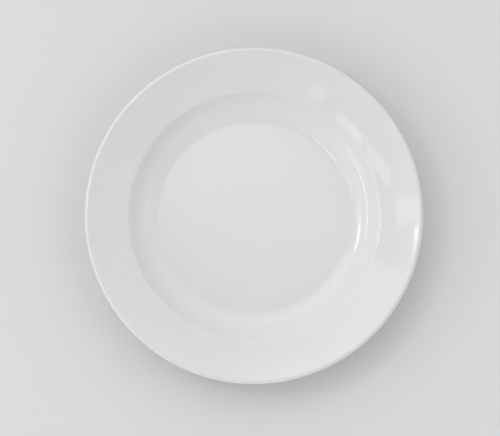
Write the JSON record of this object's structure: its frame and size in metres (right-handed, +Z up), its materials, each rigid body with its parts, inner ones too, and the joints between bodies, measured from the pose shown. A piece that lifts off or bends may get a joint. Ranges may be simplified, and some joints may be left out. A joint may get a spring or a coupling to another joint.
{
  "type": "side plate",
  "caption": "Round rimmed side plate of white glazed porcelain: a flat-floored well, a gently dished rim, a rounded lip and a bare-edged foot ring to stand and stack on.",
  "frame": {"origin": "on the plate's axis, at the plane of the table under the foot ring", "axes": "+Z up along the plate's axis, out of the well; X and Y are alike, because the plate is round"},
  "size_m": [0.2, 0.2, 0.023],
  "materials": {
    "bare_porcelain": "matte, fine-grained, unglazed",
    "white_glaze": "gloss, white"
  },
  "bodies": {
    "root": {"porcelain_body": "bare_porcelain", "outer_glaze": "white_glaze", "base_glaze": "white_glaze"}
  },
  "joints": []
}
